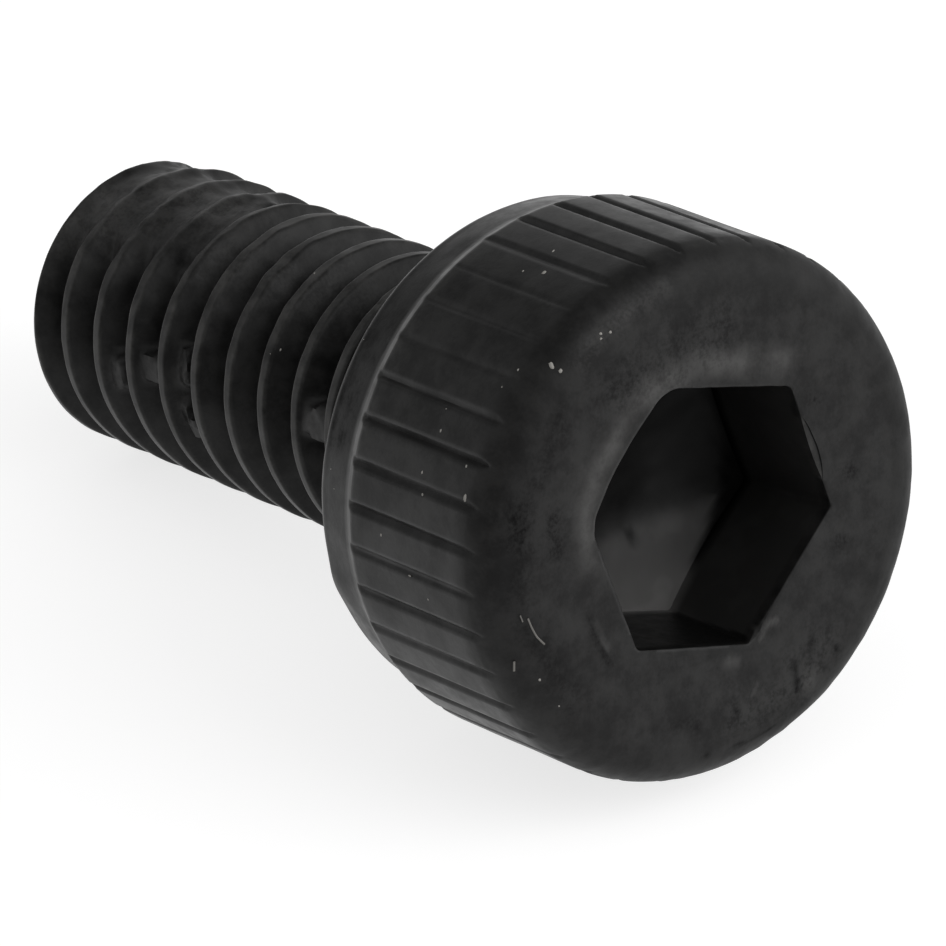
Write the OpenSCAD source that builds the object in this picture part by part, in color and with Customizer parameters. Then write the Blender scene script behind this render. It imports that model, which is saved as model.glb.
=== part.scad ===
// Hex socket cap screw with a knurled head, M2.5 x 5, lying on its side.
// Sizes are real, in millimetres, with +Z up and the table at Z = 0.
// The head is at +X and the tip at -X, with the axis in the plane Y = 0.
// The screw rests on the head's knurled rim and on the thread near the tip,
// so its axis leans by a small angle that follows from the sizes.

/* [Head] */
// Diameter over the knurl's lands
head_d = 4.35; // [4.3:0.05:4.7]
// Height from the bearing face to the front face
head_h = 2.37; // [2.3:0.01:2.8]
// Radius of the rounding between the front face and the knurl
front_round = 0.34; // [0.2:0.01:0.4]
// Diameter of the plain band below the knurl
band_d = 4.27; // [4.18:0.01:4.28]
// Height of that band over the bearing face
band_h = 0.54; // [0.3:0.02:0.7]
// Height of the bevel from the band out to the knurl
bevel_h = 0.06; // [0.04:0.01:0.1]
// Diameter of the band next to the bearing face's rounding
band_low_d = 4.1; // [4.0:0.01:4.16]
// Radius of the rounding between the band and the bearing face
edge_round = 0.12; // [0.08:0.01:0.24]

/* [Knurl] */
// Number of straight grooves round the head
groove_count = 39; // [30:1:48]
// Width of a groove at the lands
groove_w = 0.095; // [0.06:0.005:0.14]
// Depth of a groove
groove_depth = 0.045; // [0.03:0.005:0.07]
// Turn of the grooves about the axis, in degrees from straight down
groove_turn = 1.4; // [0:0.1:9]

/* [Socket] */
// Size across the flats of the hexagon
socket_af = 2.06; // [1.9:0.01:2.1]
// Depth of the hexagon from the front face
socket_depth = 1.2; // [1.1:0.02:1.4]
// Depth of the shallow cone at the floor
socket_cone = 0.1; // [0.05:0.01:0.2]
// Turn of the hexagon about the axis, in degrees from straight down
socket_turn = 13.8; // [0:0.2:59.8]
// Diameter of the countersink at the mouth, which bites into one flat only
mouth_d = 1.97; // [1.94:0.01:2.04]
// Shift of the countersink toward that flat
mouth_shift = 0.1; // [0.06:0.01:0.12]

/* [Thread] */
// Length from the bearing face to the tip
length = 5.16; // [4.8:0.02:8]
// Diameter over the crests
major_d = 2.4; // [2.36:0.01:2.48]
// Diameter at the roots
minor_d = 1.9; // [1.86:0.01:2.0]
// Distance between neighbouring crests
pitch = 0.45; // [0.4:0.01:0.5]
// Width of a crest as a share of the pitch
crest_share = 0.16; // [0.1:0.01:0.2]
// Width of a root as a share of the pitch
root_share = 0.2; // [0.1:0.01:0.25]
// Distance of the crest from the tip, straight below the axis
thread_phase = 0.234; // [0:0.002:0.44]
// Length of the plain shank under the head
neck_h = 0.5; // [0.4:0.02:0.8]
// Radius of the fillet between the shank and the bearing face
neck_fillet = 0.12; // [0.08:0.01:0.2]
// Diameter of the flat end of the tip
tip_d = 2.14; // [1.9:0.02:2.24]
// Length of the chamfer at the tip
tip_h = 0.13; // [0.1:0.01:0.2]

/* [Hidden] */

steel = [0.13, 0.13, 0.14];
head_r = head_d / 2;
major_r = major_d / 2;
minor_r = minor_d / 2;
// The plain shank stays a hair under the crests, as that of a rolled thread does.
neck_r = major_r - 0.02;
round_steps = 96;
eps = 0.01;
big = 40;

// The thread is a grid of helical rows, 4 to a pitch, and of columns round the axis.
columns = 36;
shares = [0, root_share, 0.5 + (root_share - crest_share) / 2, 0.5 + (root_share + crest_share) / 2];
radii = [minor_r, minor_r, major_r, major_r];
crest_mid = 0.5 + root_share / 2;
thread_z = -length + thread_phase - pitch * (crest_mid + 3);
thread_turns = ceil((0.35 + pitch - thread_z) / pitch);
rows = 4 * thread_turns;

// Share of the full groove depth at a height: it fades out in the last turn under the shank.
function fade(z) = min(1, max(0.06, (-neck_h - z) / (1.1 * pitch)));
function row_z(k, i) = thread_z + pitch * (floor(k / 4) + shares[k % 4] + i / columns);
// Radius that the thread is cut into: the crests' radius, and a little under the shank's inside it.
function body_r(z) =
    neck_r - 0.005 + (major_r - neck_r + 0.005) * min(1, max(0, (-neck_h - z) / (0.6 * pitch)));
function row_r(k, i) =
    let (body = body_r(row_z(k, i)))
    body - (body - min(body, radii[k % 4])) * fade(row_z(k, i));
function grid_point(k, i) =
    let (a = 360 * i / columns, r = row_r(k, i))
    [r * cos(a), r * sin(a), row_z(k, i)];
// Past the last column a row goes on as the row one pitch further up.
function grid_index(k, i) = i < columns ? k * columns + i : (k + 4) * columns;

// The screw leans until the thread near its tip meets the table: the knurl's lower end
// carries the head, and the least slope from there to the thread's lowest line is the lean.
rest_z = band_h + bevel_h;
tip_slope = (major_r - tip_d / 2) / tip_h;
function low_thread_r(z) =
    let (u = (z - thread_z) / pitch)
    lookup(u - floor(u), [
        [0, minor_r], [root_share, minor_r], [shares[2], major_r], [shares[3], major_r], [1, minor_r]
    ]);
function low_r(z) = min(low_thread_r(z), tip_d / 2 + tip_slope * (z + length));
rest_slopes = [
    for (z = [-length : 0.005 : -length + 3 * pitch]) (head_r - low_r(z)) / (rest_z - z)
];
lean = atan(min(rest_slopes));
axis_z = head_r * cos(lean) - rest_z * sin(lean);

// The bounding box is centred on X = 0: its ends are the front face's edge and the tip's edge.
front_x = max([
    for (t = [0:5:90])
    (head_h - front_round * (1 - cos(t))) * cos(lean)
    + (head_r - front_round + front_round * sin(t)) * sin(lean)
]);
tip_x = -length * cos(lean) - tip_d / 2 * sin(lean);
centre_x = (front_x + tip_x) / 2;

module lean_down() {
    translate([-centre_x, 0, axis_z]) rotate([0, 90 - lean, 0]) children();
}

// Outline of the head turned about the axis, with true arcs at the front and at the bearing face.
module head_outline() {
    difference() {
        polygon([
            [0, 0], [band_low_d / 2, 0], [band_low_d / 2, edge_round], [band_d / 2, band_h],
            [head_r, rest_z], [head_r, head_h], [0, head_h]
        ]);
        translate([band_low_d / 2 - edge_round, edge_round]) mirror([0, 1]) difference() {
            square(edge_round + 1);
            circle(r = edge_round, $fn = round_steps);
        }
        translate([head_r - front_round, head_h - front_round]) difference() {
            square(front_round + 1);
            circle(r = front_round, $fn = round_steps);
        }
    }
}

// Plan of the knurl: wide lands of the full radius with narrow grooves between them.
module knurl_plan() {
    difference() {
        circle(r = head_r, $fn = round_steps);
        for (i = [0:groove_count - 1])
            rotate(groove_turn + 360 * i / groove_count)
                polygon([
                    [head_r - groove_depth, 0],
                    [head_r + groove_depth, -groove_w],
                    [head_r + groove_depth, groove_w]
                ]);
    }
}

// Socket: the hexagon, the shallow cone at its floor and the countersink at its mouth.
module socket() {
    translate([0, 0, head_h - socket_depth]) {
        rotate(socket_turn)
            cylinder(d = socket_af / cos(30), h = socket_depth + 1, $fn = 6);
        translate([0, 0, -socket_cone])
            cylinder(d1 = 0, d2 = socket_af - 0.02, h = socket_cone, $fn = round_steps);
    }
    rotate(socket_turn + 90) translate([mouth_shift, 0, head_h - mouth_d / 2])
        cylinder(d1 = 0, d2 = 2 * mouth_d, h = mouth_d, $fn = round_steps);
}

module head() {
    difference() {
        intersection() {
            rotate_extrude($fn = round_steps) head_outline();
            linear_extrude(height = head_h) knurl_plan();
        }
        socket();
    }
}

// Plain shank under the head, with its fillet into the bearing face.
module neck() {
    rotate_extrude($fn = round_steps) difference() {
        translate([0, -neck_h]) square([neck_r + neck_fillet, neck_h + 0.3]);
        translate([neck_r + neck_fillet, -neck_fillet]) circle(r = neck_fillet, $fn = round_steps);
        translate([neck_r, -neck_h - 1]) square([1, 1 + neck_h - neck_fillet]);
    }
}

// Threaded rod as a closed helical grid, longer than needed at both ends.
module thread_rod() {
    last = rows - 1;
    base = rows * columns;
    points = concat(
        [for (k = [0:last], i = [0:columns - 1]) grid_point(k, i)],
        [[0, 0, thread_z - 0.1], [0, 0, row_z(last, columns)]]
    );
    sides = [
        for (k = [0:last - 1], i = [0:columns - 1])
        if (i < columns - 1 || k + 5 <= last)
        for (t = [
            [grid_index(k, i), grid_index(k + 1, i), grid_index(k + 1, i + 1)],
            [grid_index(k, i), grid_index(k + 1, i + 1), grid_index(k, i + 1)]
        ]) t
    ];
    low = concat(
        [for (i = [0:columns - 1]) i],
        [for (k = [4:-1:1]) k * columns]
    );
    high = concat(
        [for (i = [0:columns - 1]) last * columns + i],
        [for (k = [last - 1:-1:last - 4]) k * columns + columns - 1]
    );
    low_cap = [for (i = [0:len(low) - 1]) [base, low[i], low[(i + 1) % len(low)]]];
    high_cap = [for (i = [0:len(high) - 1]) [base + 1, high[(i + 1) % len(high)], high[i]]];
    polyhedron(points = points, faces = concat(sides, low_cap, high_cap));
}

// Space the threaded rod is cut to: the chamfered tip and a wide stretch above it.
module tip_space() {
    translate([0, 0, -length]) {
        cylinder(d1 = tip_d, d2 = tip_d + 2 * tip_slope * 2 * tip_h, h = 2 * tip_h, $fn = round_steps);
        translate([0, 0, 2 * tip_h - eps])
            cylinder(r = head_r, h = length + 1, $fn = round_steps);
    }
}

module cap_screw() {
    color(steel) lean_down() {
        head();
        neck();
        intersection() {
            thread_rod();
            tip_space();
        }
    }
}

cap_screw();
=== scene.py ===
import math
import bmesh
import bpy
import numpy as np
from mathutils import Matrix, Vector


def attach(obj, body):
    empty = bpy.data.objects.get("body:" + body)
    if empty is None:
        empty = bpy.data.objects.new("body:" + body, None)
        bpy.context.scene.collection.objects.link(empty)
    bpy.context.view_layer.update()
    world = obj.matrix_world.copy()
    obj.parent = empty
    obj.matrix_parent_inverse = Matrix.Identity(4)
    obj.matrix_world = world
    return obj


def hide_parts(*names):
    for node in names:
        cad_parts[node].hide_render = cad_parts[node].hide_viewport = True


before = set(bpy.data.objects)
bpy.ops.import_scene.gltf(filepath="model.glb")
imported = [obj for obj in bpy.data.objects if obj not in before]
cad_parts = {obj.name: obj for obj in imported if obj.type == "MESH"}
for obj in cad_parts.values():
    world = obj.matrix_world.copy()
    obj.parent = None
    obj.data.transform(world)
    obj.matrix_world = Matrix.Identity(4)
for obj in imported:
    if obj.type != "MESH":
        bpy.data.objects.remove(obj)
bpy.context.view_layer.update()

# Sizes in millimetres, the same as in part.scad
HEAD_D, HEAD_H, FRONT_ROUND = 4.35, 2.37, 0.34
BAND_D, BAND_H, BEVEL_H = 4.27, 0.54, 0.06
BAND_LOW_D, EDGE_ROUND = 4.1, 0.12
GROOVES, GROOVE_W, GROOVE_DEPTH, GROOVE_TURN = 39, 0.095, 0.045, 1.4
SOCKET_AF, SOCKET_DEPTH, SOCKET_CONE, SOCKET_TURN = 2.06, 1.2, 0.1, 13.8
MOUTH_D, MOUTH_SHIFT = 1.97, 0.1
LENGTH, MAJOR_D, MINOR_D, PITCH = 5.16, 2.4, 1.9, 0.45
CREST_SHARE, ROOT_SHARE, THREAD_PHASE = 0.16, 0.2, 0.234
NECK_H, NECK_FILLET = 0.5, 0.12
TIP_D, TIP_H = 2.14, 0.13

HEAD_R, MAJOR_R, MINOR_R = HEAD_D / 2, MAJOR_D / 2, MINOR_D / 2
NECK_R = MAJOR_R - 0.02

# How the screw leans as it lies on its head's knurl and its thread
REST_Z = BAND_H + BEVEL_H
tip_slope = (MAJOR_R - TIP_D / 2) / TIP_H
low_z = np.arange(-LENGTH, -LENGTH + 3 * PITCH, 0.005)
turn = (low_z + LENGTH - THREAD_PHASE) / PITCH + 0.5 + ROOT_SHARE / 2
low_r = np.interp(turn - np.floor(turn), [0, ROOT_SHARE, 0.5 + (ROOT_SHARE - CREST_SHARE) / 2,
                                          0.5 + (ROOT_SHARE + CREST_SHARE) / 2, 1],
                  [MINOR_R, MINOR_R, MAJOR_R, MAJOR_R, MINOR_R])
low_r = np.minimum(low_r, TIP_D / 2 + tip_slope * (low_z + LENGTH))
LEAN = math.atan(float(np.min((HEAD_R - low_r) / (REST_Z - low_z))))
AXIS_Z = HEAD_R * math.cos(LEAN) - REST_Z * math.sin(LEAN)
front_x = max((HEAD_H - FRONT_ROUND * (1 - math.cos(math.radians(t)))) * math.cos(LEAN)
              + (HEAD_R - FRONT_ROUND + FRONT_ROUND * math.sin(math.radians(t))) * math.sin(LEAN)
              for t in range(0, 91, 5))
tip_x = -LENGTH * math.cos(LEAN) - TIP_D / 2 * math.sin(LEAN)
CENTRE_X = (front_x + tip_x) / 2


def to_world(p):
    """Points in the screw's own frame, in mm, to the part's frame, in metres."""
    p = np.asarray(p, float)
    s, c = math.sin(LEAN), math.cos(LEAN)
    out = np.empty_like(p)
    out[..., 0] = p[..., 0] * s + p[..., 2] * c - CENTRE_X
    out[..., 1] = p[..., 1]
    out[..., 2] = -p[..., 0] * c + p[..., 2] * s + AXIS_Z
    return out / 1000.0


# Camera, from a fit to the photograph's outline, socket corners and thread crests
CAM_AT = Vector((0.05610506, -0.04327702, 0.04270796))
CAM_FORWARD = Vector((-0.68020781, 0.53074693, -0.50559374))
CAM_UP = Vector((-0.39860929, 0.31102356, 0.86277168))
FOCAL_PX, FRAME_PX, SENSOR = 10271.31, 946.0, 36.0

cam_data = bpy.data.cameras.new("camera")
cam = bpy.data.objects.new("camera", cam_data)
bpy.context.scene.collection.objects.link(cam)
right = CAM_FORWARD.cross(CAM_UP).normalized()
up = right.cross(CAM_FORWARD).normalized()
m = Matrix((right, up, -CAM_FORWARD.normalized())).transposed().to_4x4()
m.translation = CAM_AT
cam.matrix_world = m
cam_data.sensor_fit = "HORIZONTAL"
cam_data.sensor_width = SENSOR
cam_data.lens = FOCAL_PX * SENSOR / FRAME_PX
cam_data.clip_start = 0.001
cam_data.clip_end = 10.0
bpy.context.scene.camera = cam

# Smooth value noise on a seeded lattice, for the forged and worn surface
rng = np.random.default_rng(7)
CELLS = 32
LATTICE = rng.random((CELLS, CELLS, CELLS))


def noise(p, scale):
    """Smooth noise between -1 and 1 at points in mm, with so many bumps to a millimetre."""
    q = np.asarray(p, float) * scale + 100.0
    i = np.floor(q).astype(int)
    f = q - i
    f = f * f * (3 - 2 * f)
    out = np.zeros(q.shape[:-1])
    for dx in (0, 1):
        for dy in (0, 1):
            for dz in (0, 1):
                w = (np.where(dx, f[..., 0], 1 - f[..., 0]) * np.where(dy, f[..., 1], 1 - f[..., 1])
                     * np.where(dz, f[..., 2], 1 - f[..., 2]))
                cell = [(i[..., axis] + d) % CELLS for axis, d in enumerate((dx, dy, dz))]
                out += w * LATTICE[cell[0], cell[1], cell[2]]
    return out * 2 - 1


def cyl(r, ang, z):
    """Radius, angle in degrees and height to points."""
    r, ang, z = np.broadcast_arrays(np.asarray(r, float), np.asarray(ang, float), np.asarray(z, float))
    t = np.radians(ang)
    return np.stack([r * np.cos(t), r * np.sin(t), z], axis=-1)


def bell(x, mid, width):
    """1 at the middle, falling off smoothly on both sides."""
    return np.exp(-((x - mid) / width) ** 2)


def turn_gap(a, b):
    """Difference of two angles in degrees, between -180 and 180."""
    return (np.asarray(a, float) - b + 180.0) % 360.0 - 180.0


def box_step(x, low, high, soft):
    """1 between two values and 0 outside, with soft ends."""
    return np.clip((x - low) / soft + 0.5, 0, 1) * np.clip((high - x) / soft + 0.5, 0, 1)


class Skin:
    """Collects rings of points, the faces between them and how worn or dusty each point is."""

    def __init__(self):
        self.points, self.wear, self.dust, self.faces = [], [], [], []
        self.count = 0

    def ring(self, pts, wear=0.0, dust=0.0):
        """Adds points and gives their numbers."""
        pts = np.asarray(pts, float).reshape(-1, 3)
        start = self.count
        self.points.append(pts)
        self.wear.append(np.broadcast_to(wear, (len(pts),)).astype(float))
        self.dust.append(np.broadcast_to(dust, (len(pts),)).astype(float))
        self.count += len(pts)
        return np.arange(start, start + len(pts))

    def band(self, a, b):
        """Quads between two rings of the same count."""
        a2, b2 = np.roll(a, -1), np.roll(b, -1)
        self.faces += np.stack([a, a2, b2, b], axis=1).tolist()

    def stitch(self, a, ang_a, b, ang_b):
        """Triangles between two rings of different counts, both going round by angle."""
        ia, ib = np.argsort(ang_a % 360.0), np.argsort(ang_b % 360.0)
        a, b = a[ia], b[ib]
        aa = np.append(ang_a[ia] % 360.0, ang_a[ia][0] % 360.0 + 360.0)
        bb = np.append(ang_b[ib] % 360.0, ang_b[ib][0] % 360.0 + 360.0)
        i = j = 0
        na, nb = len(a), len(b)
        while i < na or j < nb:
            if j >= nb or (i < na and aa[i + 1] <= bb[j + 1]):
                self.faces.append([int(a[i % na]), int(a[(i + 1) % na]), int(b[j % nb])])
                i += 1
            else:
                self.faces.append([int(a[i % na]), int(b[(j + 1) % nb]), int(b[j % nb])])
                j += 1

    def close(self, a, point):
        """Triangles from a ring to one point."""
        c = int(self.ring([point])[0])
        for p, q in zip(a, np.roll(a, -1)):
            self.faces.append([int(p), int(q), c])


skin = Skin()

# Angles round the knurled head: 13 to a groove, close together in the groove
step = 360.0 / GROOVES
half = math.degrees(GROOVE_W / 2 / HEAD_R)
local = np.array([-1.5, -1.0, -0.66, -0.33, 0.0, 0.33, 0.66, 1.0, 1.5]) * half
land = np.linspace(1.5 * half, step - 1.5 * half, 6)[1:-1]
one = np.concatenate([local, land])
head_ang = np.concatenate([GROOVE_TURN + step * i + one for i in range(GROOVES)])
across = np.tile(np.concatenate([np.abs(local) / half, np.full(len(land), 9.0)]), GROOVES)
groove_shape = np.interp(across, [0, 0.3, 1.0, 1.4, 9], [0.9, 0.72, 0.1, 0.0, 0.0])
groove_mid = np.repeat(GROOVE_TURN + step * np.arange(GROOVES), len(one))
# How deep each groove is pressed, by its angle: less over one stretch, and each a little differently
PRESS = [
    (-180, 1.0), (-173.2, 1.0), (-164.8, 0.6), (-154.8, 0.15), (-147, 0.35), (-137.2, 0.35),
    (-127.5, 0.9), (-118.7, 1.0), (-109.8, 1.0), (-101, 0.9), (-92, 0.8), (-64, 0.8), (0, 0.9),
    (180, 1.0)
]
press = np.interp(turn_gap(groove_mid, 0), [p[0] for p in PRESS], [p[1] for p in PRESS])
press = press * (1 + 0.08 * np.sin(groove_mid * 0.37))


def dish(r, ang):
    """The front is a little lower in a ring just inside its rounding, more so on one side."""
    return 0.018 * bell(r, 1.86, 0.2) * (0.15 + 0.85 * box_step(turn_gap(ang, -118.0), -72.0, 72.0, 50.0))


# Head outline from the bearing face up to the flat front: radius, height, normal, wear
prof = [(BAND_LOW_D / 2 - EDGE_ROUND - 0.03, 0.0, 0.0, -1.0, 0.0)]
n = 8
for i in range(n + 1):
    t = math.pi / 2 * i / n
    prof.append((BAND_LOW_D / 2 - EDGE_ROUND * (1 - math.sin(t)), EDGE_ROUND * (1 - math.cos(t)),
                 math.sin(t), -math.cos(t), 0.35 * math.sin(2 * t)))
n = 7
bevel_low, bevel_high = 0.515, 0.615
band_slope = (BAND_D - BAND_LOW_D) / 2 / (BAND_H - EDGE_ROUND)
for i in range(1, n + 1):
    z = EDGE_ROUND + (bevel_low - EDGE_ROUND) * i / n
    prof.append((BAND_LOW_D / 2 + band_slope * (z - EDGE_ROUND), z, 0.98, -0.2, 0.0 if i < n else 0.35))
bevel_r = BAND_LOW_D / 2 + band_slope * (bevel_low - EDGE_ROUND)
for t, w in ((0.2, 0.7), (0.45, 1.0), (0.7, 1.0), (0.9, 0.8), (1.0, 0.5)):
    prof.append((bevel_r + (HEAD_R - 0.002 - bevel_r) * t ** 0.9,
                 bevel_low + (bevel_high - bevel_low) * t, 0.9, -0.4, w))
straight_low, straight_top = bevel_high + 0.03, HEAD_H - FRONT_ROUND
prof.append((HEAD_R, straight_low, 1.0, 0.0, 0.15))
n = 11
for i in range(1, n + 1):
    prof.append((HEAD_R, straight_low + (straight_top - straight_low) * i / n, 1.0, 0.0, 0.0))
n = 20
for i in range(1, n + 1):
    t = math.pi / 2 * i / n
    prof.append((HEAD_R - FRONT_ROUND * (1 - math.cos(t)), straight_top + FRONT_ROUND * math.sin(t),
                 math.cos(t), math.sin(t), 0.0))

# How far the bevel is worn bright, by angle
bevel_fade = np.interp(turn_gap(head_ang, 0), [-180, -165, -125, -110, -95, -62, 0, 120, 180],
                       [0.9, 0.6, 0.5, 0.4, 0.75, 0.45, 0.5, 0.8, 0.9])
head_rings = []
for k, (r, z, nr, nz, w) in enumerate(prof):
    p = cyl(r, head_ang, z)
    # Unevenness of the forged blank, always inward so that the size stays
    d = -0.0022 * (1 + noise(p, 2.6)) - 0.0012 * (1 + noise(p, 7.0))
    # A bruise on the front rim and a bulge on the band's rear edge
    gap = turn_gap(head_ang, 11.0)
    bruise = box_step(gap, -12.0, 12.0, 9.0) * bell(z, HEAD_H - 0.10, 0.10)
    d = d - bruise * (0.006 + 0.006 * noise(p, 9.0))
    d = d + 0.034 * bell(turn_gap(head_ang, -77.5), 0, 5.5) * bell(z, 0.16, 0.15)
    # The rounding is a little dented all round
    d = d - 0.0025 * (1 + noise(p, 12.0)) * (nr > 0.2) * (nz > 0.2)
    rr, zz = r + 0 * d, z + 0 * d
    if 0.0 < z < HEAD_H - 0.001 or nr > 0.3:
        rr = r + d * nr
        zz = z + d * nz if nz > 0.05 else zz
    zz = zz - dish(r, head_ang) * (z > straight_top)
    # The grooves run from the bevel into the front rounding
    along = np.clip((z - BAND_H - 0.01) / 0.06, 0, 1)
    fine = 1.0 + 0.15 * noise(p, 3.5)
    floor_r = HEAD_R - GROOVE_DEPTH * groove_shape * press * fine * along
    floor_r = np.where((groove_shape > 0) & (z > BAND_H), floor_r, 99.0)
    rr = np.minimum(rr, floor_r)
    wear_here = w * (0.8 + 0.35 * noise(p, 9.0))
    wear_here = wear_here * np.where(groove_shape > 0.3, 0.5, 1.0) * (bevel_fade if 0.5 < z < 0.63 else 1.0)
    head_rings.append(skin.ring(cyl(rr, head_ang, zz), np.clip(wear_here, 0, 1)))
for a, b in zip(head_rings[:-1], head_rings[1:]):
    skin.band(a, b)

# Front: stitched to rings with points at the socket's corners
PER_FLAT = 60
hex_ang = SOCKET_TURN + np.arange(6 * PER_FLAT) * 60.0 / PER_FLAT
hex_t = np.arange(6 * PER_FLAT) % PER_FLAT / PER_FLAT
flat_no = np.arange(6 * PER_FLAT) // PER_FLAT
# The mouth is worn: its corners as radius and angle, how blunt each is, and how far a flat bows out
MOUTH = [
    (1.144, 11.1), (1.184, 76.7), (1.207, 133.2), (1.235, -165.4), (1.186, -105.2), (1.168, -46.1)
]
PLAIN = [(SOCKET_AF / math.sqrt(3), SOCKET_TURN + 60 * k) for k in range(6)]
BLUNT = [0.03, 0.03, 0.05, 0.16, 0.12, 0.04]
BOW = [0.0, 0.0, 0.0, 0.062, 0.0, 0.0]


def hexagon(corners, bow):
    """Outline of the socket along hex_ang, with the points evenly spread along each side."""
    corner = np.array([(r * math.cos(math.radians(a)), r * math.sin(math.radians(a))) for r, a in corners])
    xy = np.empty((6 * PER_FLAT, 2))
    for i, (k, t) in enumerate(zip(flat_no, hex_t)):
        a, b = corner[k], corner[(k + 1) % 6]
        size = np.linalg.norm(b - a)
        point = a * (1 - t) + b * t
        ends = ((a, b, corner[(k - 1) % 6], BLUNT[k], t * size),
                (b, a, corner[(k + 2) % 6], BLUNT[(k + 1) % 6], (1 - t) * size))
        for c, other, before, cut, away in ends:
            if away < cut:
                p0 = c + (other - c) / np.linalg.norm(other - c) * cut
                p1 = c + (before - c) / np.linalg.norm(before - c) * cut
                u = 0.5 * (1 - away / cut)
                point = (1 - u) ** 2 * p0 + 2 * u * (1 - u) * c + u * u * p1
        outward = np.array([b[1] - a[1], a[0] - b[0]]) / size
        xy[i] = point + outward * bow[k] * math.sin(math.pi * t ** 1.25)
    return xy[:, 0], xy[:, 1]


flat_r = HEAD_R - FRONT_ROUND


def face_z(x, y):
    """The pressed front face is not quite flat."""
    p = np.stack([x, y, np.full_like(x, 1.0)], axis=-1)
    uneven = 0.0014 * (1 + noise(p, 1.9)) + 0.0008 * (1 + noise(p, 5.0))
    return HEAD_H - uneven - dish(np.hypot(x, y), np.degrees(np.arctan2(y, x)))


ring_a = head_rings[-1]
out_x, out_y = (flat_r - 0.03) * np.cos(np.radians(hex_ang)), (flat_r - 0.03) * np.sin(np.radians(hex_ang))
ring_b = skin.ring(np.stack([out_x, out_y, face_z(out_x, out_y)], axis=1))
skin.stitch(ring_a, head_ang, ring_b, hex_ang)
hx, hy = hexagon(MOUTH, BOW)
low_x, low_y = hexagon(PLAIN, [0.0] * 6)
# The countersink is a cone set off the axis; it bites into one flat, and the other edges are only worn
cut_dir = math.radians(SOCKET_TURN + 90)
ccx, ccy = MOUTH_SHIFT * math.cos(cut_dir), MOUTH_SHIFT * math.sin(cut_dir)
dist = np.hypot(hx - ccx, hy - ccy)
edge_p = np.stack([hx, hy, np.zeros_like(hx)], axis=1)
worn = 0.007 + 0.004 * noise(edge_p, 9.0)
worn = worn + 0.016 * bell(turn_gap(hex_ang, 21.0), 0, 8.0) * (1 + noise(edge_p, 16.0))
cone_cut = np.maximum(0.0, MOUTH_D / 2 + 0.014 - dist) * (flat_no == 1)
bite = cone_cut + worn
crescent = np.clip(cone_cut / 0.012, 0, 1)
nx, ny = hx / np.hypot(hx, hy), hy / np.hypot(hx, hy)
mx, my = hx + nx * bite, hy + ny * bite
prev = ring_b
n = 26
for i in range(1, n + 1):
    t = i / n
    x, y = out_x + (mx - out_x) * t, out_y + (my - out_y) * t
    cur = skin.ring(np.stack([x, y, face_z(x, y)], axis=1))
    skin.band(prev, cur)
    prev = cur
top_z = face_z(mx, my)
lip = bite * (1 - 0.5 * crescent)
for t, drop in ((0.1, 0.12 + 0.4 * crescent), (0.5, 0.45 + 0.2 * crescent), (1.0, 1.0)):
    cur = skin.ring(np.stack([mx + (hx - mx) * t, my + (hy - my) * t, top_z - lip * drop], axis=1),
                    (0.25 if t > 0.3 else 0.0) * crescent)
    skin.band(prev, cur)
    prev = cur

# The socket's floor is nearly flat within this radius, and rises beyond it with this slope
FLOOR_FLAT_R, FLOOR_SLOPE = 0.35, 0.267


def floor_at(x, y):
    """Socket floor: a shallow cone, flatter in the middle, that meets the sides a little higher."""
    out_by = np.hypot(x, y) - FLOOR_FLAT_R
    rise = FLOOR_SLOPE * 0.5 * (out_by + np.sqrt(out_by ** 2 + 0.01))
    return HEAD_H - SOCKET_DEPTH - SOCKET_CONE + rise


floor_z = floor_at(low_x, low_y)
n = 9
for i in range(1, n + 1):
    t = i / n
    wx = low_x + (hx - low_x) * (1 - t) ** 2
    wy = low_y + (hy - low_y) * (1 - t) ** 2
    wob = 0.0015 * noise(np.stack([wx, wy, np.full_like(wx, t)], axis=1), 4.0)
    cur = skin.ring(np.stack([wx + nx * wob, wy + ny * wob, (top_z - lip) * (1 - t) + floor_z * t], axis=1))
    skin.band(prev, cur)
    prev = cur
n = 16
for i in range(1, n):
    t = 1 - i / n
    x, y = low_x * t, low_y * t
    z = floor_at(x, y) + 0.002 * noise(np.stack([x, y, 0 * x], axis=1), 8.0) * (t < 0.98)
    cur = skin.ring(np.stack([x, y, z], axis=1))
    skin.band(prev, cur)
    prev = cur
skin.close(prev, (0, 0, float(floor_at(0.0, 0.0))))

# Underside: bearing face, fillet and plain shank
COLS = 180
col_ang = np.arange(COLS) * 360.0 / COLS
r_out, r_in = BAND_LOW_D / 2 - EDGE_ROUND - 0.1, NECK_R + NECK_FILLET
low = skin.ring(cyl(r_out, col_ang, 0.0))
skin.stitch(low, col_ang, head_rings[0], head_ang)
prev = low
under = [(r_out + (r_in - r_out) * i / 4, 0.0) for i in range(1, 5)]
for i in range(1, 8):
    t = math.pi / 2 * i / 7
    under.append((r_in - NECK_FILLET * math.sin(t), -NECK_FILLET * (1 - math.cos(t))))
for z in np.linspace(-NECK_FILLET, -NECK_H + 0.1, 6)[1:]:
    under.append((NECK_R, z))
for r, z in under:
    cur = skin.ring(cyl(r, col_ang, z))
    skin.band(cur, prev)
    prev = cur
Z_TOP = under[-1][1]

# Thread profile over one pitch, from crest middle to crest middle, with softened edges
ph = np.linspace(-0.5, 0.5, 2001)[:-1]
raw = np.interp(np.abs(ph), [0, 0.092, 0.5 - ROOT_SHARE / 2, 0.5], [MAJOR_R, MAJOR_R, MINOR_R, MINOR_R])
kernel = np.hanning(71)
kernel = kernel / kernel.sum()
soft = np.convolve(np.concatenate([raw[-200:], raw, raw[:200]]), kernel, "same")[200:-200]

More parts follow.
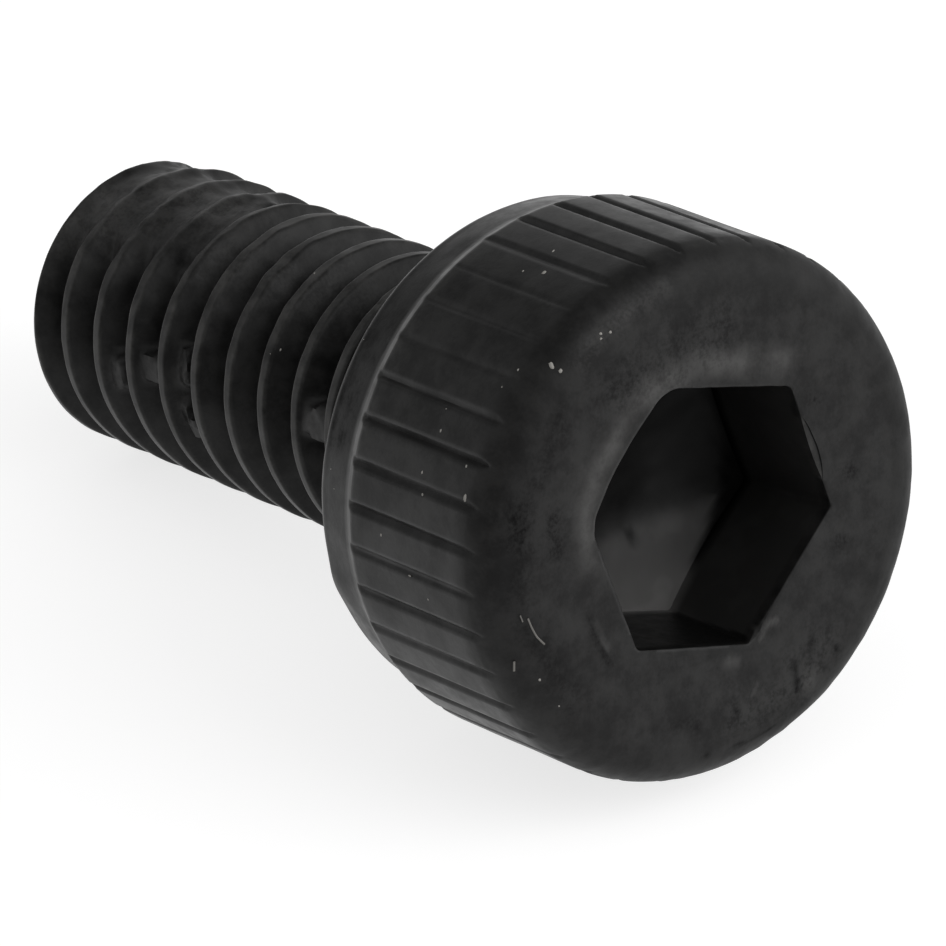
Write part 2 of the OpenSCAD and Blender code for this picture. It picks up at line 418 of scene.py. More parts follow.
# Metal smeared into the grooves: angle, height, half lengths round and along in mm, radius
FILLS = [
    (-88, -3.96, 0.17, 0.11, 1.135), (-97, -3.48, 0.14, 0.17, 1.14), (-102.5, -3.09, 0.21, 0.07, 1.10),
    (-81.5, -3.11, 0.13, 0.07, 1.11), (-75, -2.97, 0.12, 0.09, 1.13), (-102, -1.24, 0.15, 0.2, 1.16)
]


def thread_r(ang, z):
    """Radius of the thread at an angle and height, and how much of it is crest."""
    p = cyl(MAJOR_R, ang, z)
    turns = (z + LENGTH - THREAD_PHASE) / PITCH - turn_gap(ang, 0) / 360.0
    s = turns - np.round(turns)
    # The crests are a little uneven, more so on the side that took the knocks
    knock = bell(turn_gap(ang, -158.0), 0, 34.0) * np.clip((-0.9 - z) / 1.2, 0, 1)
    s = s + (0.008 + 0.02 * knock) * noise(p, 8.0)
    s = np.sign(s) * np.clip(np.abs(s) - 0.02 * knock * (1 + noise(p, 6.0)), 0, 0.5)
    r = np.interp(s, ph, soft, period=1.0)
    crest = np.clip((r - MAJOR_R + 0.02) / 0.02, 0, 1)
    r = r - (0.002 + 0.009 * knock) * (1 + noise(p, 7.0)) * crest
    # Near the tip the upper side is rubbed: low wide ridges in place of crests
    rub = np.clip((44.0 - np.abs(turn_gap(ang, -174.0)) + 5 * noise(p, 3.0)) / 16.0, 0, 1)
    rub = rub * np.clip((-3.05 - z + 0.12 * noise(p, 4.0)) / 0.5, 0, 1)
    ridge = 1.125 + 0.05 * bell(s, 0.07, 0.19)
    ridge = ridge + 0.011 * noise(p, 6.0) + 0.008 * noise(p, 14.0)
    pit = bell(turn_gap(ang, -146.0), 0, 4.0) * bell(z, -3.60, 0.10)
    ridge = ridge - 0.07 * pit
    r = r + (ridge - r) * rub
    crest = crest * (1 - 0.85 * rub)
    body = NECK_R - 0.001 + (MAJOR_R - NECK_R + 0.001) * np.clip((-NECK_H - z) / (0.6 * PITCH), 0, 1)
    depth = np.clip((-NECK_H - z) / (1.1 * PITCH), 0.0, 1.0)
    r = body - (body - np.minimum(r, body)) * depth
    for a0, z0, la, lz, rf in FILLS:
        gap_a = np.abs(turn_gap(ang, a0)) * math.pi / 180 * MAJOR_R / la
        gap_z = np.abs(z - z0 - PITCH * turn_gap(ang, a0) / 360.0) / lz
        w = np.clip((1.3 - (gap_a ** 3 + gap_z ** 3) ** (1 / 3)) / 0.5 + 0.5 * noise(p, 9.0), 0, 1)
        w = w * w * (3 - 2 * w)
        fill = rf + 0.010 * noise(p, 14.0)
        r = np.where(r < fill, r + (fill - r) * w, r)
    r = r - 0.0012 * (1 + noise(p, 8.0))
    tip = TIP_D / 2 + tip_slope * (z + LENGTH)
    # Soft minimum of the thread and the tip's cone
    k = 0.025
    h = np.clip(0.5 + 0.5 * (tip - r) / k, 0, 1)
    r = tip * (1 - h) + r * h - k * h * (1 - h)
    return np.minimum(r, MAJOR_R), crest * np.clip(depth * 2, 0, 1)


# Rows of the thread follow the helix, so each crest lies on grid lines all the way
near = np.array([0.0, 0.04, 0.075, 0.1, 0.13, 0.165, 0.21, 0.27, 0.33, 0.38, 0.42, 0.46])
phase = np.concatenate([near, [0.5], (1 - near[1:])[::-1]])
PER = len(phase)
Z_LOW = -LENGTH + 0.006
first = math.floor((Z_LOW + LENGTH - THREAD_PHASE) / PITCH) - 2
last = math.ceil((Z_TOP + LENGTH - THREAD_PHASE) / PITCH) + 1
turn_no = np.arange(first, last + 1)
k_turns = (turn_no[:, None] + phase[None]).ravel()
zg = -LENGTH + THREAD_PHASE + PITCH * (k_turns[:, None] + col_ang[None] / 360.0)
zg = np.clip(zg, Z_LOW, Z_TOP)
ag = np.broadcast_to(col_ang, zg.shape)
rg, cg = thread_r(ag, zg)
rg = np.where(zg >= Z_TOP - 1e-9, NECK_R, rg)
pg = cyl(rg, ag, zg)
wear_g = 0.42 * cg * np.clip(0.55 + 0.6 * noise(pg, 9.0), 0, 1)
ids = skin.ring(pg.reshape(-1, 3), wear_g.ravel()).reshape(zg.shape)
rows = len(k_turns)
nxt = np.concatenate([ids[:, 1:], np.full((rows, 1), -1)], axis=1)
nxt[:rows - PER, -1] = ids[PER:, 0]
for k in range(rows - 1):
    a, b, c, e = ids[k], nxt[k], nxt[k + 1], ids[k + 1]
    keep = (b >= 0) & (c >= 0)
    skin.faces += np.stack([a, b, c, e], axis=1)[keep].tolist()

edge_r = thread_r(col_ang, np.full(COLS, Z_LOW))[0]
prev = skin.ring(cyl(edge_r, col_ang, Z_LOW))
for cut, z in ((0.006, -LENGTH + 0.002), (0.014, -LENGTH)):
    cur = skin.ring(cyl(edge_r - cut, col_ang, z))
    skin.band(cur, prev)
    prev = cur
for share in (0.9, 0.72, 0.5, 0.28, 0.1):
    x = cyl((edge_r - 0.014) * share, col_ang, -LENGTH)
    x[:, 2] += 0.004 * (1 + noise(x, 3.0)) * min(1.0, (1 - share) * 4)
    cur = skin.ring(x)
    skin.band(cur, prev)
    prev = cur
skin.close(prev, (0, 0, -LENGTH + 0.004))

# The surface goes by letters: S the knurled side, B the band, R the rounding at the front,
# F the front, T the thread and K the socket's floor
# Dust grains: letter, angle, height, half length and half width in mm, turn
GRAINS = [
    ("S", -167.8, 1.31, 0.026, 0.014, 20), ("S", -161.5, 1.48, 0.030, 0.026, 0),
    ("S", -160, 1.28, 0.014, 0.012, 0), ("R", -143, 2.247, 0.040, 0.022, 60),
    ("R", -143.2, 2.303, 0.022, 0.018, 0), ("S", -139, 2.03, 0.017, 0.014, 0),
    ("R", -154.8, 2.345, 0.014, 0.012, 0), ("R", -155.5, 2.332, 0.014, 0.013, 0),
    ("R", -157.5, 2.350, 0.016, 0.014, 0), ("S", -134.5, 1.97, 0.014, 0.012, 0),
    ("S", -121.8, 1.52, 0.018, 0.015, 0), ("S", -126.3, 1.49, 0.011, 0.009, 0),
    ("S", -111, 2.0, 0.036, 0.024, 10), ("S", -117, 1.93, 0.017, 0.014, 0),
    ("S", -112.5, 1.44, 0.018, 0.014, 0), ("S", -108.2, 1.49, 0.017, 0.012, 30),
    ("S", -96.5, 1.01, 0.016, 0.015, 0), ("S", -90, 1.35, 0.024, 0.009, 90),
    ("S", -86.2, 1.55, 0.014, 0.011, 0), ("B", -104.8, 0.2, 0.012, 0.010, 0),
    ("B", -101, 0.28, 0.012, 0.010, 0), ("B", -133.8, 0.1, 0.015, 0.013, 0),
    ("R", -67.5, 2.36, 0.016, 0.014, 0), ("R", -58.2, 2.362, 0.012, 0.010, 0),
    ("T", -159, -2.01, 0.020, 0.014, 30), ("T", -124.8, -1.86, 0.016, 0.014, 0),
    ("T", -122.0, -1.9, 0.013, 0.011, 0)
]
# The grains are this share of the sizes above
GRAIN_SCALE = 0.78
# Fibres: points as angle and radius on the front, and half width
FIBRES = [
    ([(-83.8, 1.835), (-80.8, 1.82), (-78.0, 1.80), (-75.0, 1.76)], 0.008),
    ([(-85.4, 1.895), (-83.6, 1.885)], 0.006), ([(-75.0, 2.03), (-72.8, 2.052)], 0.011)
]

# Height of a fibre's section as a share of its width, and how pale it is
FIBRE_FLAT, FIBRE_DUST = 0.7, 0.5


def on_surface(kind, ang, z):
    """Point and outward normal on the surface of that letter; on the front, z is a radius."""
    t = math.radians(ang)
    out = np.array([math.cos(t), math.sin(t), 0.0])
    if kind == "S":
        return out * (HEAD_R - 0.006) + [0, 0, z], out
    if kind == "B":
        return out * (BAND_LOW_D / 2 + band_slope * (z - EDGE_ROUND) - 0.006) + [0, 0, z], out
    if kind == "R":
        s = min(1.0, max(0.0, (z - straight_top) / FRONT_ROUND))
        nrm = out * math.sqrt(1 - s * s) + np.array([0, 0, s])
        base = out * (HEAD_R - FRONT_ROUND) + [0, 0, straight_top]
        p = base + nrm * (FRONT_ROUND - 0.006)
        return p - [0, 0, float(dish(math.hypot(p[0], p[1]), ang))], nrm
    if kind == "F":
        q = max(0.0, z - flat_r) / FRONT_ROUND
        high = HEAD_H - FRONT_ROUND * (1 - math.sqrt(1 - q * q)) - float(dish(z, ang)) - 0.002
        return out * z + [0, 0, high], out * q + np.array([0, 0, math.sqrt(1 - q * q)])
    r = float(thread_r(np.array([float(ang)]), np.array([float(z)]))[0][0])
    return out * (r - 0.004) + [0, 0, z], out


def grain(kind, ang, z, a, b, spin, tall=0.55):
    """A small lump of dust with an uneven rim."""
    a, b = GRAIN_SCALE * a, GRAIN_SCALE * b
    p, nrm = on_surface(kind, ang, z)
    side = np.cross(nrm, [0.0, 0.0, 1.0])
    if np.linalg.norm(side) < 0.1:
        side = np.array([1.0, 0.0, 0.0])
    side /= np.linalg.norm(side)
    upw = np.cross(nrm, side)
    s = math.radians(spin)
    u, v = side * math.cos(s) + upw * math.sin(s), upw * math.cos(s) - side * math.sin(s)
    rings = []
    for share, height in ((1.0, 0.0), (0.85, 0.45), (0.45, 0.85)):
        pts = []
        for i in range(9):
            t = 2 * math.pi * i / 9
            w = share * (1 + 0.25 * rng.uniform(-1, 1))
            pts.append(p + u * a * w * math.cos(t) + v * b * w * math.sin(t) + nrm * b * tall * height)
        rings.append(skin.ring(pts, 0.0, 1.0))
    bottom = int(skin.ring([p - nrm * 0.01], 0.0, 1.0)[0])
    peak = int(skin.ring([p + nrm * b * tall], 0.0, 1.0)[0])
    for i in range(9):
        j = (i + 1) % 9
        skin.faces.append([int(rings[0][i]), int(rings[0][j]), bottom])
        skin.faces.append([int(rings[2][i]), int(rings[2][j]), peak])
    skin.band(rings[0], rings[1])
    skin.band(rings[1], rings[2])


def fibre(path, wide):
    """A thin tube that follows the front."""
    ts = np.linspace(0, len(path) - 1, 5 * (len(path) - 1) + 1)
    ang = np.interp(ts, np.arange(len(path)), [p[0] for p in path])
    rad = np.interp(ts, np.arange(len(path)), [p[1] for p in path])
    mid = np.array([on_surface("F", a, r)[0] + [0, 0, 0.004] for a, r in zip(ang, rad)])
    ahead = np.gradient(mid, axis=0)
    ahead /= np.linalg.norm(ahead, axis=1)[:, None]
    rings = []
    for p, d in zip(mid, ahead):
        u = np.cross(d, [0.0, 0.0, 1.0])
        u /= np.linalg.norm(u)
        v = np.cross(u, d)
        t = 2 * math.pi * np.arange(6) / 6
        rim = np.cos(t)[:, None] * u + np.sin(t)[:, None] * v * FIBRE_FLAT
        rings.append(skin.ring(p + wide * rim, 0.0, FIBRE_DUST))
    for a, b in zip(rings[:-1], rings[1:]):
        skin.band(a, b)
    for a, p in ((rings[0], mid[0]), (rings[-1], mid[-1])):
        c = int(skin.ring([p], 0.0, FIBRE_DUST)[0])
        for i in range(6):
            skin.faces.append([int(a[i]), int(a[(i + 1) % 6]), c])


for g in GRAINS:
    grain(*g)
for path, wide in FIBRES:
    fibre(path, wide)

# Marks and painted light and shade: letter, points, half width in mm, lighter or darker, coarser
# A point is a radius and an angle on F and K, and an angle and a height on T
MARKS_AND_PAINTED_LIGHT_SHADE = [
    # Painted highlight round the upper and left side of the socket's mouth
    ("F", [(1.33, 142.8), (1.28, 178), (1.31, -154.8), (1.28, -127), (1.28, -108.8), (1.2, -92)],
     0.11, 0.75, 0.3),
    ("F", [(1.32, -73), (1.36, -61.8), (1.39, -54.2)], 0.03, -0.55, 0.5),
    ("F", [(1.29, -70), (1.33, -58)], 0.025, 0.5, 0.0),
    ("F", [(1.19, 0.8), (1.22, 4)], 0.045, 0.8, 0.3), ("F", [(1.5, 10), (1.56, 7.8)], 0.02, 0.7, 0.0),
    ("F", [(1.59, 24), (1.77, 21.2)], 0.026, -0.9, 0.0), ("F", [(1.56, 31.8)], 0.03, -0.8, 0.0),
    ("F", [(1.8, 36.2)], 0.03, -0.8, 0.0), ("F", [(1.63, 1.5)], 0.03, -0.7, 0.0),
    ("F", [(1.916, -8.5)], 0.03, -0.7, 0.0), ("F", [(1.73, 22.2)], 0.03, -0.8, 0.0),
    ("F", [(1.81, 24.8)], 0.09, 0.5, 0.5), ("F", [(1.25, 120.8)], 0.07, -0.3, 1.0),
    ("F", [(1.37, 87.8)], 0.09, -0.35, 1.0), ("F", [(1.34, 64)], 0.07, -0.3, 1.0),
    ("F", [(1.53, -100.2), (1.58, -108.8)], 0.09, -0.3, 1.0),
    ("F", [(1.871, -104), (1.942, -108.8)], 0.10, -0.3, 0.7),
    # Painted shade that dims the highlight on the right of the front rounding
    ("F", [(2.02, 0), (2.02, 30), (2.03, 60), (2.03, 90), (2.02, 125)], 0.09, -0.3, 0.0),
    ("F", [(1.92, -1.0), (1.93, 3.7), (1.93, 8.0), (1.94, 12.2)], 0.018, -1.0, 0.0),
    ("F", [(1.7, 2), (1.75, 18), (1.7, 34)], 0.2, 0.1, 0.9),
    ("F", [(1.14, 26.3), (1.11, 22), (1.17, 16.8)], 0.025, 1.0, 0.5),
    ("F", [(1.55, -150), (1.5, 170)], 0.2, 0.0, 0.8), ("T", [(-167.5, -4.64)], 0.03, -0.9, 0.0),
    ("T", [(-145.5, -3.63)], 0.07, -0.8, 0.0),
    ("T", [(-100.2, -1.86), (-102, -1.49)], 0.012, -0.6, 0.0), ("T", [(-88, -3.96)], 0.1, 0.3, 1.0),
    ("T", [(-97, -3.48)], 0.1, 0.35, 1.0), ("T", [(-102, -1.24)], 0.14, 0.4, 0.4),
    ("T", [(-104, -3.09), (-78, -3.05)], 0.08, 0.25, 1.0),
    ("T", [(-150, -4.6), (-170, -3.6)], 0.35, 0.25, 0.8),
    ("T", [(-150, -3.0), (-160, -1.0)], 0.3, 0.1, 0.6), ("K", [(0.53, 13.4)], 0.045, -3.0, 0.0),
    # Painted shade in a ring just inside the front rounding on the left
    ("F", [(1.84, -135), (1.86, -110), (1.88, -85), (1.82, -55)], 0.11, -0.3, 0.4),
    # Painted highlight on the front rounding at the top, a little to the left
    ("F", [(2.0, -175), (1.98, -160), (1.96, -148)], 0.08, 0.3, 0.8),
    ("F", [(1.62, -20), (1.66, -12)], 0.05, -0.3, 0.3),
    ("T", [(-135, -4.95), (-160, -4.9), (-178, -4.6), (-178, -3.9)], 0.25, 0.5, 0.5)
]
pts = np.concatenate(skin.points)
marks_and_painted_light_shade, coarse = np.zeros(len(pts)), np.zeros(len(pts))
for kind, path, wide, tint, grit_up in MARKS_AND_PAINTED_LIGHT_SHADE:
    if kind == "F":
        line = np.array([on_surface("F", a, r)[0] for r, a in path])
    elif kind == "K":
        line = np.array([cyl(r, a, HEAD_H - SOCKET_DEPTH) for r, a in path])
    else:
        line = np.array([on_surface("T", a, z)[0] for a, z in path])
    if len(line) == 1:
        line = np.concatenate([line, line + [[1e-4, 0, 0]]])
    near_by = np.full(len(pts), 9.0)
    for a, b in zip(line[:-1], line[1:]):
        t = np.clip(((pts - a) @ (b - a)) / ((b - a) @ (b - a)), 0, 1)
        near_by = np.minimum(near_by, np.linalg.norm(pts - a - t[:, None] * (b - a), axis=1))
    near_by = near_by * (1 + 0.3 * noise(pts, 12.0)) / (1 + 0.2 * noise(pts, 3.0))
    marks_and_painted_light_shade += tint * np.exp(-(near_by / wide) ** 2)
    coarse += grit_up * np.exp(-(near_by / wide) ** 2)

# Lighter marks and painted light, and coarse spots, are this share of what the list says
LIGHT_SHARE, COARSE_SHARE = 0.6, 0.6
marks_and_painted_light_shade = np.where(marks_and_painted_light_shade > 0, LIGHT_SHARE * marks_and_painted_light_shade, marks_and_painted_light_shade)
coarse = COARSE_SHARE * coarse

# Points nearer the axis and higher than these are in the socket, and those of its floor are no
# further than this from the height that the floor has there
SOCKET_REACH, SOCKET_BELOW, FLOOR_GAP = 1.25, 0.8, 0.006
from_axis = np.hypot(pts[:, 0], pts[:, 1])
turned = np.degrees(np.arctan2(pts[:, 1], pts[:, 0]))
in_socket = (from_axis < SOCKET_REACH) * (pts[:, 2] > SOCKET_BELOW)
off_floor = np.abs(pts[:, 2] - floor_at(pts[:, 0], pts[:, 1]))
on_floor = in_socket * (off_floor < FLOOR_GAP)
# Painted light and shade on the socket's floor: lighter low down as painted light, darker high up and in
# the corner on the right as painted shade
painted_lit_floor = np.clip((pts[:, 0] + 0.08 * pts[:, 1] - 0.26) / 0.32, 0, 1)
painted_lit_floor = painted_lit_floor * painted_lit_floor * (3 - 2 * painted_lit_floor)
painted_corner_shade = np.clip((from_axis - 0.97) / 0.06, 0, 1) * box_step(turned, 40, 125, 25)
lightest = 0.5 + 0.4 * np.clip((pts[:, 0] - 0.7) / 0.3, 0, 1)
marks_and_painted_light_shade += on_floor * (lightest * painted_lit_floor - 0.5 * (1 - painted_lit_floor))
marks_and_painted_light_shade = np.where(on_floor * painted_corner_shade > 0, marks_and_painted_light_shade * (1 - painted_corner_shade) - painted_corner_shade, marks_and_painted_light_shade)
# The socket's walls are a little lighter, and the lower one is darker with painted shade
on_wall = in_socket * (pts[:, 2] < HEAD_H - 0.03) * (off_floor >= FLOOR_GAP)
painted_low_wall_shade = on_wall * box_step(turned, -46.2, 13.8, 1.0)
marks_and_painted_light_shade += 0.18 * on_wall - 0.5 * painted_low_wall_shade
# Painted shade: the band is darker on the left, and so is the knurl low on the left
band_here = box_step(pts[:, 2], 0.08, 0.5, 0.05) * (from_axis > 1.8)
painted_band_shade_low = 0.5 * box_step(turned, -128, -30, 25)
painted_band_shade_high = 0.6 * box_step(turned, -168, -108, 12)
marks_and_painted_light_shade -= band_here * (painted_band_shade_low + painted_band_shade_high)
side_here = box_step(pts[:, 2], 0.56, straight_top, 0.04) * (from_axis > 1.8)
marks_and_painted_light_shade -= 0.3 * side_here * box_step(turned, -84, -20, 15)
# The walls and floor of the socket are more even
inside = in_socket * np.clip((HEAD_H - 0.04 - pts[:, 2]) / 0.05, 0, 1)

# The rounding is more satin than the rest, and the thread half as much
satin = (pts[:, 2] > straight_top - 0.05) * np.clip((from_axis - 1.75) / 0.1, 0, 1)
satin = satin + 0.5 * (pts[:, 2] < -0.05)

mesh = bpy.data.meshes.new("screw_body")
mesh.from_pydata(to_world(pts).tolist(), [], skin.faces)
# light and dark carry the marks together with the painted light and shade
LAYERS = {
    "wear": np.concatenate(skin.wear), "dust": np.concatenate(skin.dust),
    "light": np.clip(marks_and_painted_light_shade, 0, 1), "dark": np.clip(-marks_and_painted_light_shade, 0, 1), "coarse": np.clip(coarse, 0, 1),
    "inside": inside, "satin": satin,
}
for name, values in LAYERS.items():
    layer = mesh.attributes.new(name, "FLOAT", "POINT")
    layer.data.foreach_set("value", values.astype(np.float32))
bm = bmesh.new()
bm.from_mesh(mesh)
bmesh.ops.remove_doubles(bm, verts=bm.verts, dist=2e-8)
bmesh.ops.dissolve_degenerate(bm, dist=1e-8, edges=bm.edges)
loose = [v for v in bm.verts if not v.link_faces]
bmesh.ops.delete(bm, geom=loose, context="VERTS")
bmesh.ops.recalc_face_normals(bm, faces=bm.faces)
bm.to_mesh(mesh)
bm.free()
mesh.update()
screw = bpy.data.objects.new("screw_body", mesh)
bpy.context.scene.collection.objects.link(screw)
for poly in mesh.polygons:
    poly.use_smooth = True
mesh.set_sharp_from_angle(angle=math.radians(52))


class Nodes:
    """Short calls for shader nodes."""

    def __init__(self, tree):
        self.tree = tree

    def add(self, kind, **values):
        node = self.tree.nodes.new(kind)
        for key, value in values.items():
            if hasattr(node, key):
                setattr(node, key, value)
            else:
                node.inputs[key].default_value = value
        return node

    def link(self, a, b):
        self.tree.links.new(a, b)

    def math(self, op, a, b=0.0, clamp=False):
        node = self.tree.nodes.new("ShaderNodeMath")
        node.operation = op
        node.use_clamp = clamp
        for i, v in enumerate((a, b)):
            if isinstance(v, (int, float)):
                node.inputs[i].default_value = v
            else:
                self.link(v, node.inputs[i])
        return node.outputs[0]

    def mapped(self, value, a, b, c, d):
        """The range from a to b, brought smoothly to the range from c to d."""
        node = self.tree.nodes.new("ShaderNodeMapRange")
        node.interpolation_type = "SMOOTHSTEP"
        self.link(value, node.inputs["Value"])
        for name, v in (("From Min", a), ("From Max", b), ("To Min", c), ("To Max", d)):
            node.inputs[name].default_value = v
        return node.outputs["Result"]

    def mix(self, fac, a, b):
        node = self.tree.nodes.new("ShaderNodeMix")
        node.data_type = "RGBA"
        self.link(fac, node.inputs["Factor"])
        for sock, v in ((node.inputs[6], a), (node.inputs[7], b)):
            if isinstance(v, tuple):
                sock.default_value = v
            else:
                self.link(v, sock)
        return node.outputs[2]


# Blackened steel: near black, satin, mottled, lighter and smoother where edges are worn
BLACK, CHARCOAL = (0.002, 0.002, 0.002, 1), (0.0072, 0.007, 0.0067, 1)
WORN_EDGE, LIGHT_MARK_AND_PAINTED_LIGHT = (0.085, 0.083, 0.079, 1), (0.1, 0.098, 0.096, 1)
DARK_MARK_AND_PAINTED_SHADE, DUST = (0.0012, 0.0012, 0.0012, 1), (0.3, 0.29, 0.27, 1)
BUMP_DEPTH = 0.00001
mat = bpy.data.materials.new("black_steel")
mat.use_nodes = True
mat.node_tree.nodes.clear()
N = Nodes(mat.node_tree)
out = N.add("ShaderNodeOutputMaterial")
bsdf = N.add("ShaderNodeBsdfPrincipled")
N.link(bsdf.outputs["BSDF"], out.inputs["Surface"])
bsdf.inputs["Metallic"].default_value = 0.0
coord = N.add("ShaderNodeTexCoord").outputs["Object"]


def speckle(scale, detail, rough=0.6):
    """Noise texture on the part's own coordinates."""
    node = N.add("ShaderNodeTexNoise")
    node.inputs["Scale"].default_value = scale
    node.inputs["Detail"].default_value = detail
    node.inputs["Roughness"].default_value = rough
    N.link(coord, node.inputs["Vector"])
    return node.outputs["Fac"]


def attribute(name):
    """A value that the mesh carries at each point."""
    return N.add("ShaderNodeAttribute", attribute_name=name).outputs["Fac"]


# Noise from broad patches to fine grit, in bumps to a metre
broad = speckle(900.0, 2.0)
mottle = speckle(2800.0, 2.0)
middle = speckle(8000.0, 3.0, 0.65)
grit = speckle(30000.0, 2.0)
wear, dust = attribute("wear"), attribute("dust")
light, dark, coarse_here = attribute("light"), attribute("dark"), attribute("coarse")
tone = N.math("ADD", N.math("MULTIPLY", mottle, 0.5), N.math("MULTIPLY", middle, 0.35))
tone = N.mapped(N.math("ADD", tone, N.math("MULTIPLY", grit, 0.15)), 0.3, 0.7, 0.0, 1.0)
spots = N.math("ADD", N.math("MULTIPLY", middle, 0.5), N.math("MULTIPLY", grit, 0.5))
spots = N.mapped(spots, 0.3, 0.7, 0.0, 1.0)
inner = attribute("inside")
share = N.math("MULTIPLY", coarse_here, 0.75)
tone = N.math("MULTIPLY", tone, N.math("SUBTRACT", 1.0, share))
tone = N.math("ADD", tone, N.math("MULTIPLY", spots, share), clamp=True)
# In the socket the tone is more even
varied = N.math("SUBTRACT", 1.0, N.math("MULTIPLY", inner, 0.75))
tone = N.math("ADD", N.math("MULTIPLY", tone, varied), N.math("MULTIPLY", inner, 0.3))
base = N.mix(tone, BLACK, CHARCOAL)
worn_fac = N.math("MULTIPLY", wear, N.mapped(middle, 0.3, 0.65, 0.35, 1.0))
base = N.mix(worn_fac, base, WORN_EDGE)
patchy = N.math("MAXIMUM", N.mapped(mottle, 0.3, 0.65, 0.45, 1.0), N.math("MULTIPLY", inner, 0.8))
# Lighter marks, and the painted light and highlights
base = N.mix(N.math("MULTIPLY", light, patchy), base, LIGHT_MARK_AND_PAINTED_LIGHT)
pits = N.math("MULTIPLY", coarse_here, N.mapped(spots, 0.8, -0.05, 0.0, 0.6))
dark = N.math("ADD", dark, pits, clamp=True)
# Darker marks and pits, and the painted shade, which also lowers the shine
base = N.mix(dark, base, DARK_MARK_AND_PAINTED_SHADE)
base = N.mix(dust, base, DUST)
N.link(base, bsdf.inputs["Base Color"])
shine = N.math("ADD", N.mapped(tone, 0.0, 1.0, 0.19, 0.29), N.math("MULTIPLY", dark, -0.17), clamp=True)
N.link(shine, bsdf.inputs["Specular IOR Level"])
rough = N.math("ADD", N.mapped(broad, 0.3, 0.7, 0.33, 0.41), N.mapped(middle, 0.3, 0.7, -0.05, 0.06))
rough = N.math("SUBTRACT", rough, N.math("MULTIPLY", wear, 0.04))
rough = N.math("ADD", rough, N.math("MULTIPLY", attribute("satin"), 0.16))
rough = N.math("ADD", rough, N.math("MULTIPLY", dust, 0.45), clamp=True)
N.link(rough, bsdf.inputs["Roughness"])
bump = N.add("ShaderNodeBump")
bump.inputs["Distance"].default_value = BUMP_DEPTH
strength = N.math("SUBTRACT", N.math("ADD", N.math("MULTIPLY", coarse_here, 0.55), 0.4),
                  N.math("MULTIPLY", inner, 0.35), clamp=True)
N.link(strength, bump.inputs["Strength"])
height = N.math("ADD", N.math("MULTIPLY", mottle, 0.5), N.math("MULTIPLY", middle, 0.35))
height = N.math("ADD", height, N.math("MULTIPLY", grit, 0.15))
N.link(height, bump.inputs["Height"])
N.link(bump.outputs["Normal"], bsdf.inputs["Normal"])
mesh.materials.append(mat)

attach(screw, "root")
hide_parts("cap_screw")

# Floor: pale, and seen as white by the camera and in reflections, with the screw's soft shadow on it
fmesh = bpy.data.meshes.new("floor")
FLOOR_HALF = 0.02
WHITE, FLOOR_TONE, SEEN_TONE, SEEN_GLOW = (1, 1, 1, 1), (0.85, 0.85, 0.85, 1), (0.42, 0.42, 0.42, 1), 0.74
corners = [(x * FLOOR_HALF, y * FLOOR_HALF, 0) for x, y in ((-1, -1), (1, -1), (1, 1), (-1, 1))]
fmesh.from_pydata(corners, [], [[0, 1, 2, 3]])
floor = bpy.data.objects.new("floor", fmesh)
bpy.context.scene.collection.objects.link(floor)
fmat = bpy.data.materials.new("floor")
fmat.use_nodes = True
fmat.node_tree.nodes.clear()
F = Nodes(fmat.node_tree)
fout = F.add("ShaderNodeOutputMaterial")
path = F.add("ShaderNodeLightPath")
seen = F.math("MAXIMUM", path.outputs["Is Camera Ray"], path.outputs["Is Glossy Ray"])
seen = F.math("MAXIMUM", seen, path.outputs["Is Transmission Ray"])
plain = F.add("ShaderNodeBsdfDiffuse")
plain.inputs["Color"].default_value = FLOOR_TONE
pale = F.add("ShaderNodeBsdfDiffuse")
pale.inputs["Color"].default_value = SEEN_TONE
glow = F.add("ShaderNodeEmission")
glow.inputs["Color"].default_value = WHITE
glow.inputs["Strength"].default_value = SEEN_GLOW
both = F.add("ShaderNodeAddShader")
F.link(pale.outputs[0], both.inputs[0])
F.link(glow.outputs[0], both.inputs[1])
pick = F.add("ShaderNodeMixShader")
F.link(seen, pick.inputs[0])
F.link(plain.outputs[0], pick.inputs[1])
F.link(both.outputs[0], pick.inputs[2])
F.link(pick.outputs[0], fout.inputs["Surface"])
fmesh.materials.append(fmat)

# Surroundings: soft pale light of different strength from different sides
world = bpy.data.worlds.new("studio")
bpy.context.scene.world = world
world.use_nodes = True
world.node_tree.nodes.clear()
W = Nodes(world.node_tree)
wout = W.add("ShaderNodeOutputWorld")
toward = W.add("ShaderNodeTexCoord").outputs["Generated"]


def lobe(az, el, wide, amount):
    """Amount added round one direction, falling to nothing at the given angle from it."""
    a, e = math.radians(az), math.radians(el)
    dot = W.add("ShaderNodeVectorMath", operation="DOT_PRODUCT")
    W.link(toward, dot.inputs[0])
    dot.inputs[1].default_value = (math.cos(a) * math.cos(e), math.sin(a) * math.cos(e), math.sin(e))
    return W.mapped(dot.outputs["Value"], math.cos(math.radians(wide)), 1.0, 0.0, amount)


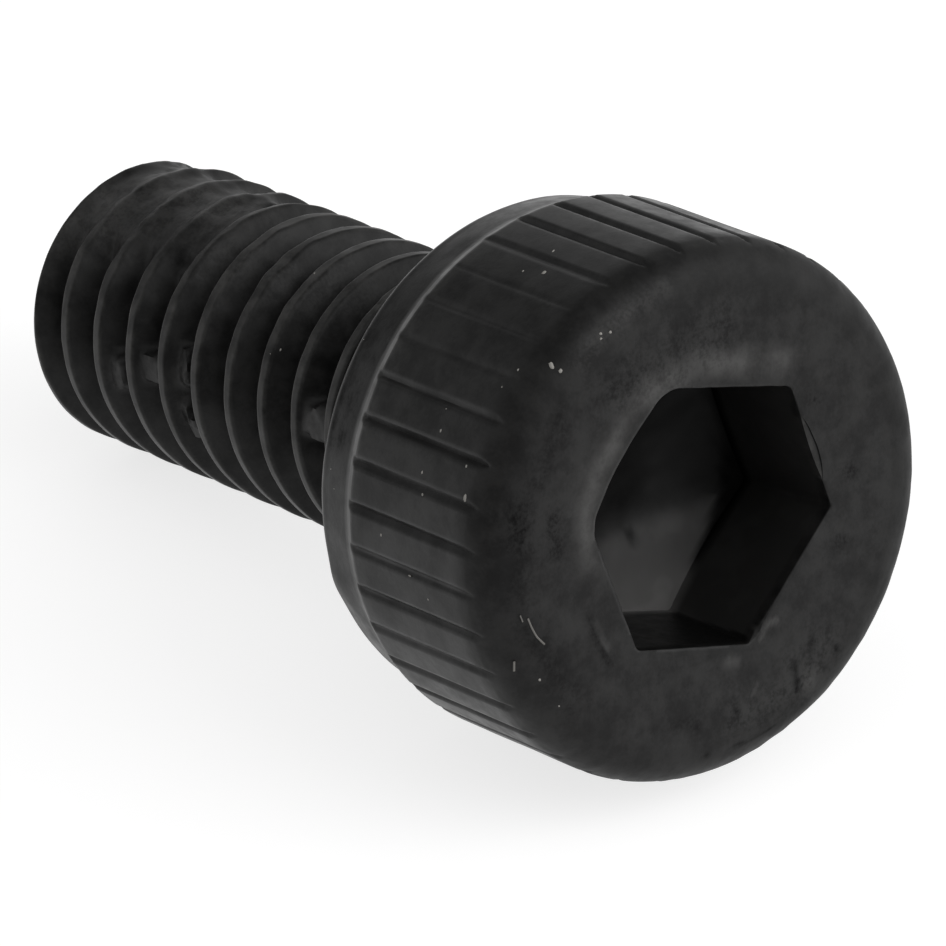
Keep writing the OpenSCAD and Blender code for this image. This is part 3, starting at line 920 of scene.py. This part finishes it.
# Soft lights: direction, height, width in degrees and strength
SOFT = [
    (-144, 12, 44, 0.45), (-108, 12, 44, 0.39), (-10, 12, 44, 0.16), (36, 12, 44, 1.42),
    (72, 12, 44, 1.0), (108, 12, 44, 0.13), (144, 12, 44, 0.54), (-180, 48, 50, 0.09),
    (-120, 48, 50, 0.26), (-60, 48, 50, 0.27), (0, 48, 50, 0.74), (120, 48, 50, 0.14),
    (0, 88, 50, 0.11)
]
level = lobe(*SOFT[0])
for args in SOFT[1:]:
    level = W.math("ADD", lobe(*args), level)
wcol = W.add("ShaderNodeBackground")
W.link(level, wcol.inputs["Strength"])
wcol.inputs["Color"].default_value = WHITE
white = W.add("ShaderNodeBackground")
white.inputs["Color"].default_value = WHITE
white.inputs["Strength"].default_value = 1.0
# White to the camera, and to reflections below the horizon, where it goes on from the floor
wpath = W.add("ShaderNodeLightPath")
wmix = W.add("ShaderNodeMixShader")
axes = W.add("ShaderNodeSeparateXYZ")
W.link(toward, axes.inputs[0])
mirrored = W.math("MAXIMUM", wpath.outputs["Is Glossy Ray"], wpath.outputs["Is Transmission Ray"])
mirrored = W.math("MULTIPLY", mirrored, W.mapped(axes.outputs["Z"], 0.0, -0.06, 0.0, 1.0))
W.link(W.math("MAXIMUM", wpath.outputs["Is Camera Ray"], mirrored), wmix.inputs[0])
W.link(wcol.outputs[0], wmix.inputs[1])
W.link(white.outputs[0], wmix.inputs[2])
W.link(wmix.outputs[0], wout.inputs["Surface"])


def lamp(name, az, el, away, size, radiance):
    """Round soft lamp that looks at the screw from a direction and a distance."""
    a, e = math.radians(az), math.radians(el)
    d = Vector((math.cos(a) * math.cos(e), math.sin(a) * math.cos(e), math.sin(e)))
    data = bpy.data.lights.new(name, "AREA")
    data.shape = "DISK"
    data.size = size
    data.energy = radiance * math.pi * math.pi * size * size / 4
    obj = bpy.data.objects.new(name, data)
    bpy.context.scene.collection.objects.link(obj)
    obj.location = d * away + Vector((0, 0, 0.002))
    obj.rotation_euler = (-d).to_track_quat("-Z", "Y").to_euler()


# Direction, height, distance and size in metres, and how bright its face is
lamp("key", 18, 41, 0.15, 0.10, 1.7)

bpy.context.scene.view_settings.view_transform = "Standard"
